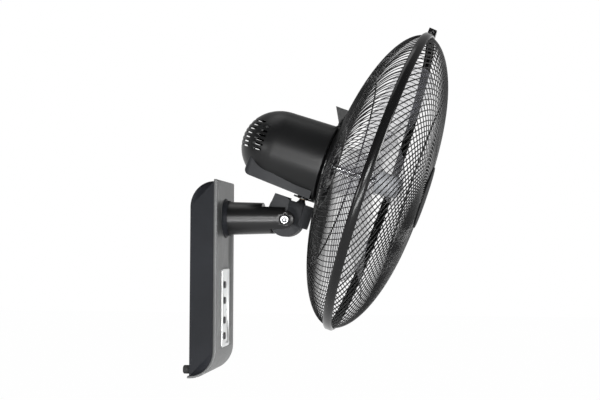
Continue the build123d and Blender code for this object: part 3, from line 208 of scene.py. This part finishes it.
paintedLook = {"peel": 420.0, "patches": 9.0, "spread": 0.15, "dusty": 0.015, "dustFrom": 0.4, "dustTo": 0.8,
               "broad": 0.08, "scuffs": 0.06, "coatRough": 0.12}

def painted(name, colour, rough, coat=0.0, orangePeel=0.00002, gloss=0.35):
    # paint with a faint orange peel
    look = paintedLook
    material, start, shader = newFinish(name)
    peel = noise(start, look["peel"], 1.0)
    broad = noise(start, look["patches"], 4.0)
    tone = blotched(broad, shade(colour, 1 - look["spread"]), shade(colour, 1 + look["spread"]))
    feed(start, shader, {
        "Base Color": dusted(start, tone, broad.within(look["dustFrom"], look["dustTo"]), look["dusty"]),
        "Roughness": scuffs(start, look["scuffs"]) + uneven(rough, (broad, look["broad"])),
        "Coat Weight": coat, "Coat Roughness": look["coatRough"],
        "Normal": bump(start, peel, orangePeel), "Specular IOR Level": gloss})
    return material

metalLook = {"patches": 20.0, "dark": 0.82, "pale": 1.1, "lines": 0.16, "broad": 0.06}

def metal(name, colour, rough, grain=(1, 1, 1), fineness=600.0, depth=0.00001):
    # bare metal, brushed along one direction where its grain is stretched
    look = metalLook
    material, start, shader = newFinish(name)
    lines = noise(start, fineness, 2.0, grain)
    broad = noise(start, look["patches"], 3.0)
    feed(start, shader, {
        "Base Color": blotched(broad, shade(colour, look["dark"]), shade(colour, look["pale"])),
        "Metallic": 1.0, "Roughness": uneven(rough, (lines, look["lines"]), (broad, look["broad"])),
        "Normal": bump(start, lines, depth)})
    return material

seeThrough = {"flow": 18.0, "stretch": (1, 1, 2.5), "depth": 0.00001}       # flow marks from the mould
lensLook = {"pale": (0.88, 0.90, 0.90, 1.0), "deep": (0.82, 0.85, 0.85, 1.0), "passes": 0.85, "rough": 0.085,
            "index": 1.49, "fineness": 260.0, "waves": 0.05, "flow": 0.04}
sheetLook = {"fineness": 120.0, "spread": 0.2, "waves": 0.06, "cloud": 0.05}

def clearPlastic(name, look):
    # lets light through, a little cloudy
    material, start, shader = newFinish(name)
    waves = noise(start, look["fineness"], 2.0)
    flow = noise(start, seeThrough["flow"], 3.0, seeThrough["stretch"])
    feed(start, shader, {
        "Base Color": blotched(flow, look["deep"], look["pale"]), "IOR": look["index"],
        "Roughness": uneven(look["rough"], (waves, look["waves"]), (flow, look["flow"])),
        "Transmission Weight": look["passes"], "Normal": bump(start, waves, seeThrough["depth"])})
    return material

def thinPlastic(name, colour, cover, rough):
    # a thin tinted sheet that lets light straight through, all but its cover
    look = sheetLook
    material, start, shader = newFinish(name)
    flow = noise(start, seeThrough["flow"], 3.0, seeThrough["stretch"])
    waves = noise(start, look["fineness"], 2.0)
    feed(start, shader, {
        "Base Color": blotched(flow, shade(colour, 1 - look["spread"]), shade(colour, 1 + look["spread"])),
        "Alpha": uneven(cover, (flow, look["cloud"])), "Roughness": uneven(rough, (waves, look["waves"])),
        "Normal": bump(start, waves, seeThrough["depth"])})
    return material

finishes = {
    "base_shell": moulded("blackMoulding", (0.0125, 0.0135, 0.0160), 0.48, gloss=0.08),
    "cover_shell": moulded("coverMoulding", (0.10, 0.102, 0.102), 0.42, gloss=0.5),
    "panel_metal": metal("silverPanel", (0.82, 0.83, 0.83), 0.42, (1, 8, 1)),
    "button_cap": moulded("buttonCap", (0.026, 0.026, 0.029), 0.35),
    "board_green": painted("boardGreen", (0.02, 0.09, 0.045), 0.4, coat=0.3),
    "switch_black": moulded("switchBlack", (0.015, 0.015, 0.015), 0.4),
    "zinc_steel": metal("zincPlate", (0.62, 0.63, 0.64), 0.28),
    "black_steel": metal("blackOxide", (0.10, 0.10, 0.105), 0.38),
    "soft_rubber": moulded("softRubber", (0.018, 0.018, 0.018), 0.72, 300.0, 0.00008, dusty=0.25),
    "capacitor_case": painted("capacitorCase", (0.015, 0.015, 0.017), 0.2, coat=0.5),
    "terminal_white": moulded("terminalCream", (0.68, 0.64, 0.55), 0.42),
    "arm_paint": painted("armPaint", (0.0035, 0.0036, 0.0038), 0.30, orangePeel=0.000006, gloss=0.45),
    "knuckle_grey": moulded("knuckleGrey", (0.022, 0.023, 0.025), 0.48, 1100.0, 0.00005, gloss=0.16),
    "shaft_steel": metal("groundSteel", (0.60, 0.61, 0.62), 0.22),
    "washer_fibre": moulded("fibreWasher", (0.20, 0.13, 0.07), 0.6),
    "bush_bronze": metal("bushBronze", (0.55, 0.36, 0.18), 0.35),
    "acetal_white": moulded("acetalWhite", (0.72, 0.71, 0.68), 0.35),
    "motor_iron": metal("coreIron", (0.26, 0.26, 0.27), 0.45, (30, 1, 1)),
    "winding_copper": metal("windingCopper", (0.55, 0.23, 0.10), 0.35, (1, 20, 20)),
    "bell_metal": metal("dieCastBell", (0.50, 0.51, 0.52), 0.46, fineness=250.0, depth=0.00004),
    "shell_paint": moulded("shellBlack", (0.0055, 0.0057, 0.0060), 0.36, 1300.0, 0.00003),
    "guard_paint": painted("guardPaint", (0.0035, 0.0035, 0.0037), 0.19, gloss=0.28),
    "badge_silver": metal("badgeSilver", (0.60, 0.60, 0.60), 0.35),
    "spinner_grey": moulded("spinnerGrey", (0.36, 0.37, 0.39), 0.40),
    "lens_clear": clearPlastic("clearLens", lensLook),
    "blade_smoke": thinPlastic("smokeBlade", (0.13, 0.13, 0.148), 0.21, 0.11),
}
# painted shade for the blades' narrow edges: a darker, denser smoke than their faces
bladeEdgeShade = thinPlastic("smokeBladeEdgePaintedShade", (0.06, 0.06, 0.07), 0.70, 0.15)
darkDisc = moulded("darkDisc", (0.006, 0.006, 0.0065), 0.60, gloss=0.08)
print("finishes made:", len(finishes))

# every CAD node gets its finish; the clamp's screw and nut and the front disc are darker than their slots say
lookOf = {name: finishes[slot] for name, slot in slotOf.items()}
lookOf.update({"band_screw": finishes["guard_paint"], "band_nut": finishes["guard_paint"],
               "guard_badge": darkDisc})
for name, part in nodes.items():
    part.data.materials.clear()
    part.data.materials.append(lookOf[name])

def addMesh(name, mesh, finish):
    piece = bpy.data.objects.new(name, mesh)
    scene.collection.objects.link(piece)
    mesh.materials.clear()
    mesh.materials.append(finish)
    return piece

def settle(piece, node):
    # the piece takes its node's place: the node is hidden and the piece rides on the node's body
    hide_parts(node)
    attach(piece, bodyOf[node])

# pieces that are copied, merged and shaded smooth
smooth = {"merge": 0.000002, "sharpFrom": 30.0, "nodes": [
    "rear_housing", "front_cover", "arm_tube", "arm_collar", "tilt_knuckle", "motor_shell", "lower_cover",
    "front_plate", "rim_band", "fan_blade", "spinner", "guard_badge", "guard_nut", "tilt_bolt", "tilt_nut",
    "neck_bracket", "neck_cone", "control_panel", "stand_off_feet", "cord_grommet", "band_screw",
    "wall_bracket", "neck_shaft", "button_1", "button_2", "button_3", "button_4"]}

def smoothed(node):
    mesh = nodes[node].data.copy()
    work = bmesh.new()
    work.from_mesh(mesh)
    bmesh.ops.remove_doubles(work, verts=work.verts, dist=smooth["merge"])
    work.to_mesh(mesh)
    work.free()
    mesh.shade_smooth()
    mesh.set_sharp_from_angle(angle=radians(smooth["sharpFrom"]))
    piece = addMesh(node + "Piece", mesh, lookOf[node])
    settle(piece, node)
    return piece

smoothPieces = {node: smoothed(node) for node in smooth["nodes"]}

# the fan's own place: x forward along its axis, z up the guard
fan = {"tilt": 19, "along": 0.2705, "up": 0.1353}
tilt = radians(fan["tilt"])
fanPlace = Matrix(((cos(tilt), 0, sin(tilt), fan["along"]), (0, 1, 0, 0),
                   (-sin(tilt), 0, cos(tilt), fan["up"]), (0, 0, 0, 1)))

# a blade's face gets the painted edge shade outside this radius, if it looks less far forward or back than
# this
edgeShadeMask = {"beyond": 0.085, "facing": 0.34}

def paintBladeEdgeShade(piece):
    # painted shade: the narrow edges of the blades get a darker, denser smoke than their faces, for the dark
    # look of clear plastic seen edge-on
    mesh = piece.data
    mesh.materials.append(bladeEdgeShade)
    toFan = fanPlace.inverted()
    for face in mesh.polygons:
        middle = toFan @ face.center
        forward = (toFan.to_3x3() @ face.normal).x
        if abs(forward) < edgeShadeMask["facing"] and middle.yz.length > edgeShadeMask["beyond"]:
            face.material_index = 1

paintBladeEdgeShade(smoothPieces["fan_blade"])
print("smooth pieces made:", len(smoothPieces))

# the wires of a guard lean round a dome from the rim ring to the hub
wireProfile = 6         # sides of a wire
treeInputs = {
    "Wire Count": "NodeSocketInt", "Steps": "NodeSocketInt", "Wire Radius": "NodeSocketFloat",
    "Rim Radius": "NodeSocketFloat", "Depth": "NodeSocketFloat", "Radial Power": "NodeSocketFloat",
    "Axial Power": "NodeSocketFloat", "First Turn": "NodeSocketFloat", "Last Turn": "NodeSocketFloat",
    "Lean": "NodeSocketFloat", "Swirl": "NodeSocketFloat", "Finish": "NodeSocketMaterial"}

def wireCage():
    tree = bpy.data.node_groups.new("wireCage", "GeometryNodeTree")
    for name, kind in treeInputs.items():
        tree.interface.new_socket(name, in_out="INPUT", socket_type=kind)
    tree.interface.new_socket("Geometry", in_out="OUTPUT", socket_type="NodeSocketGeometry")
    start = Tap(tree)
    asked = start.make("NodeGroupInput").output
    # a line of points, copied once for each wire; the line's own place doesn't matter
    line = start.make("GeometryNodeMeshLine", {"mode": "OFFSET"},
                      {"Count": asked("Steps"), "Offset": (0, 0, 0.001)})
    curve = start.make("GeometryNodeMeshToCurve", {}, {"Mesh": line})
    copies = start.make("GeometryNodeDuplicateElements", {"domain": "SPLINE"},
                        {"Geometry": curve, "Amount": asked("Wire Count")})
    along = start.make("GeometryNodeSplineParameter")
    turn = asked("First Turn") + along * (asked("Last Turn") - asked("First Turn"))
    out = asked("Rim Radius") * start.sum("COSINE", turn) ** (2.0 / asked("Radial Power"))
    reach = asked("Depth") * start.sum("SINE", turn) ** (2.0 / asked("Axial Power"))
    swept = turn - asked("First Turn")
    about = (copies.output("Duplicate Index") * (2 * pi) / asked("Wire Count")
             + swept * asked("Lean") + swept * swept * asked("Swirl"))
    place = start.make("ShaderNodeCombineXYZ", {}, {
        0: reach, 1: 0.0 - out * start.sum("SINE", about), 2: out * start.sum("COSINE", about)})
    bent = start.make("GeometryNodeSetPosition", {}, {"Geometry": copies, "Position": place})
    profile = start.make("GeometryNodeCurvePrimitiveCircle", {},
                         {"Resolution": wireProfile, "Radius": asked("Wire Radius")})
    wires = start.make("GeometryNodeCurveToMesh", {},
                       {"Curve": bent, "Profile Curve": profile, "Fill Caps": True})
    soft = start.make("GeometryNodeSetShadeSmooth", {}, {"Geometry": wires})
    whole = start.make("GeometryNodeRealizeInstances", {}, {"Geometry": soft})
    done = start.make("GeometryNodeSetMaterial", {}, {"Geometry": whole, "Material": asked("Finish")})
    start.make("NodeGroupOutput", {}, {"Geometry": done})
    return tree

cageTree = wireCage()

def grown(name, tree, values):
    # runs a tree once and returns its result as a plain mesh
    holder = bpy.data.objects.new(name + "Holder", bpy.data.meshes.new(name))
    scene.collection.objects.link(holder)
    growth = holder.modifiers.new("growth", "NODES")
    growth.node_group = tree
    for item in tree.interface.items_tree:
        if item.in_out == "INPUT":
            growth[item.identifier] = values[item.name]
    ready = holder.evaluated_get(bpy.context.evaluated_depsgraph_get())
    mesh = bpy.data.meshes.new_from_object(ready)
    mesh.name = name
    bpy.data.objects.remove(holder)
    return mesh

def domeAt(turn, cage):
    # radius and height of the dome where it has turned this far from the rim
    return (cage["rim"] * cos(turn) ** (2 / cage["radialPower"]),
            cage["depth"] * sin(turn) ** (2 / cage["axialPower"]))

def turnAt(radius, cage):
    return acos((radius / cage["rim"]) ** (cage["radialPower"] / 2))

def spun(work, points, segments):
    # turns a closed outline of (along, radius) points about the fan's axis
    rows = []
    for step in range(segments):
        turn = 2 * pi * step / segments
        rows.append([work.verts.new((along, -out * sin(turn), out * cos(turn))) for along, out in points])
    count = len(points)
    for step in range(segments):
        here, there = rows[step], rows[(step + 1) % segments]
        for k in range(count):
            work.faces.new((here[k], here[(k + 1) % count], there[(k + 1) % count], there[k]))

def ringWire(work, along, out, size, segments, sides=8):
    rolls = [2 * pi * side / sides for side in range(sides)]
    spun(work, [(along + size * sin(roll), out + size * cos(roll)) for roll in rolls], segments)

def buildCage(name, cage):
    # the wires, the rim ring and the middle ring of one guard, in the fan's place
    first = asin((cage["ringAlong"] / cage["depth"]) ** (cage["axialPower"] / 2))
    mesh = grown(name, cageTree, {
        "Wire Count": cage["wires"], "Steps": cage["steps"], "Wire Radius": cage["wire"],
        "Rim Radius": cage["rim"], "Depth": cage["depth"], "Radial Power": cage["radialPower"],
        "Axial Power": cage["axialPower"], "First Turn": first, "Last Turn": turnAt(cage["hubRadius"], cage),
        "Lean": cage["lean"], "Swirl": cage["swirl"], "Finish": finishes["guard_paint"]})
    work = bmesh.new()
    work.from_mesh(mesh)
    ringWire(work, cage["ringAlong"], cage["rim"] + cage["ringOver"], cage["ringWire"], cage["rimSegments"])
    out, along = domeAt(turnAt(cage["middleRing"], cage), cage)
    ringWire(work, along - cage["ringDrop"], out, cage["ringWire"], cage["ringSegments"])
    if cage["side"] < 0:
        bmesh.ops.scale(work, vec=(-1, 1, 1), verts=work.verts)
    bmesh.ops.recalc_face_normals(work, faces=work.faces)
    work.to_mesh(mesh)
    work.free()
    mesh.transform(fanPlace)
    mesh.shade_smooth()
    print(name, len(mesh.polygons), "faces")
    return mesh

def addDish(mesh, points, segments):
    # the ring or plate at the middle of a guard, which the wires end on
    work = bmesh.new()
    spun(work, points, segments)
    bmesh.ops.recalc_face_normals(work, faces=work.faces)
    work.transform(fanPlace)
    work.from_mesh(mesh)
    work.to_mesh(mesh)
    work.free()

frontCage = {
    "side": 1, "wires": 104, "steps": 36, "wire": 0.00085, "rim": 0.215, "depth": 0.064, "radialPower": 2.5,
    "axialPower": 1.85, "hubRadius": 0.044, "lean": -0.4, "swirl": -0.36, "ringAlong": 0.00325,
    "ringOver": 0.0002, "ringWire": 0.0012, "ringDrop": 0.0014, "middleRing": 0.140, "rimSegments": 240,
    "ringSegments": 180, "hubIn": 0.042, "hubOut": 0.046, "hubHalf": 0.0012, "hubSegments": 96}

def buildFrontGuard(cage):
    mesh = buildCage("frontWires", cage)
    ringAt = domeAt(turnAt(cage["hubRadius"], cage), cage)[1]
    low, high = ringAt - cage["hubHalf"], ringAt + cage["hubHalf"]
    addDish(mesh, [
        (low, cage["hubIn"]), (low, cage["hubOut"]), (high, cage["hubOut"]), (high, cage["hubIn"])],
        cage["hubSegments"])
    settle(addMesh("frontGuardWires", mesh, finishes["guard_paint"]), "front_guard")

rearCage = {
    "side": -1, "wires": 152, "steps": 36, "wire": 0.00066, "rim": 0.215, "depth": 0.077, "radialPower": 1.9,
    "axialPower": 2.0, "hubRadius": 0.058, "lean": 0.2, "swirl": 0.15, "ringAlong": 0.00325,
    "ringOver": 0.0002, "ringWire": 0.0012, "ringDrop": 0.0014, "middleRing": 0.140, "rimSegments": 240,
    "ringSegments": 180, "dishRear": -0.0796, "dishFront": -0.0780, "dishBore": 0.0226, "dishOut": 0.054,
    "lipIn": 0.058, "lipOut": 0.062, "lipRear": 0.0016, "lipFront": 0.0014, "dishSegments": 96}

def buildRearGuard(cage):
    mesh = buildCage("rearWires", cage)
    hubAt = -domeAt(turnAt(cage["hubRadius"], cage), cage)[1]
    rear, front = hubAt - cage["lipRear"], hubAt + cage["lipFront"]
    addDish(mesh, [
        (cage["dishRear"], cage["dishBore"]), (cage["dishRear"], cage["dishOut"]),
        (rear, cage["lipIn"]), (rear, cage["lipOut"]), (front, cage["lipOut"]), (front, cage["lipIn"]),
        (cage["dishFront"], cage["dishOut"]), (cage["dishFront"], cage["dishBore"])], cage["dishSegments"])
    settle(addMesh("rearGuardWires", mesh, finishes["guard_paint"]), "rear_guard")

buildFrontGuard(frontCage)
buildRearGuard(rearCage)
print("guards made")

# a pale floor that looks white, with hardly a shadow on it, and sends light up to the object
floorLook = {"height": -0.42, "reach": 6, "grain": 3.0, "dark": (0.86, 0.86, 0.86, 1),
             "pale": (0.90, 0.90, 0.90, 1), "rough": 0.9, "white": 0.99}

def floorFinish():
    material, start, shader = newFinish("paleFloor")
    grain = noise(start, floorLook["grain"], 4.0)
    feed(start, shader, {"Base Color": mixed(grain, floorLook["dark"], floorLook["pale"]),
                         "Roughness": floorLook["rough"]})
    rays = start.make("ShaderNodeLightPath")
    seen = start.sum("MAXIMUM", rays.output("Is Camera Ray"), rays.output("Is Glossy Ray"))
    seen = start.sum("MAXIMUM", seen, rays.output("Is Transmission Ray"))
    white = start.make("ShaderNodeEmission", {}, {"Color": (1, 1, 1, 1), "Strength": 1.0})
    both = start.make("ShaderNodeMixShader", {},
                      {0: seen * floorLook["white"], 1: Tap(start.tree, shader.outputs[0]), 2: white})
    feed(start, start.tree.nodes["Material Output"], {"Surface": both})
    return material

def buildFloor():
    mesh = bpy.data.meshes.new("floor")
    reach = floorLook["reach"]
    corners = [(-reach, -reach), (reach, -reach), (reach, reach), (-reach, reach)]
    mesh.from_pydata([(*corner, floorLook["height"]) for corner in corners], [], [(0, 1, 2, 3)])
    addMesh("floor", mesh, floorFinish())

# gloss shows the white behind the object, less of it higher up, and the dim room in front of it;
# the fill light weakens a little with height
room = {"backFrom": -0.25, "backTo": 0.35, "highFrom": 0.1, "highTo": 0.6, "highLoss": 0.75, "dim": 0.14,
        "fillFrom": -0.6, "fillTo": 0.9, "fillLow": 0.38, "fillLoss": 0.10}

def buildWorld():
    world = bpy.data.worlds.new("studio")
    scene.world = world
    world.use_nodes = True
    start = Tap(world.node_tree)
    rays = start.make("ShaderNodeLightPath")
    shown = start.sum("MAXIMUM", rays.output("Is Camera Ray"), rays.output("Is Transmission Ray"))
    mirrored = rays.output("Is Glossy Ray")
    facing = start.make("ShaderNodeTexCoord").output("Generated")
    split = start.make("ShaderNodeSeparateXYZ", {}, {0: facing})
    height = split.output("Z")
    fromBack = split.output("Y").within(room["backFrom"], room["backTo"])
    lower = 1.0 - height.within(room["highFrom"], room["highTo"]) * room["highLoss"]
    behind = fromBack * lower * (1.0 - room["dim"]) + room["dim"]
    fill = height.within(room["fillFrom"], room["fillTo"]) * -room["fillLoss"] + room["fillLow"]
    strength = shown + (1.0 - shown) * (mirrored * behind + (1.0 - mirrored) * fill)
    feed(start, start.tree.nodes["Background"], {"Color": (1, 1, 1, 1), "Strength": strength})

lamps = {
    "frontSoft": {"at": (0.30, -2.3, 0.22), "look": (0.15, 0, 0.12), "size": (1.0, 0.22), "power": 26},
    "highSoft": {"at": (-0.2, 0.2, 2.1), "look": (0.15, 0, 0.15), "size": (1.6, 0.8), "power": 5},
    "rightSoft": {"at": (2.4, -0.9, 0.25), "look": (0.05, 0, 0.0), "size": (0.5, 0.9), "power": 42},
    "leftSoft": {"at": (-1.5, -1.9, 0.25), "look": (0.1, 0, 0.12), "size": (0.5, 0.3), "power": 9},
    "lowStrip": {"at": (0.2, -1.5, -0.32), "look": (0.15, 0, 0.12), "size": (1.2, 0.12), "power": 14},
}

def buildLamps():
    for name, lamp in lamps.items():
        light = bpy.data.lights.new(name, "AREA")
        light.shape = "RECTANGLE"
        light.size, light.size_y = lamp["size"]
        light.energy = lamp["power"]
        holder = bpy.data.objects.new(name, light)
        scene.collection.objects.link(holder)
        aim = (Vector(lamp["look"]) - Vector(lamp["at"])).to_track_quat("-Z", "Y")
        holder.matrix_world = Matrix.Translation(lamp["at"]) @ aim.to_matrix().to_4x4()

buildFloor()
buildWorld()
buildLamps()
print("stage set")
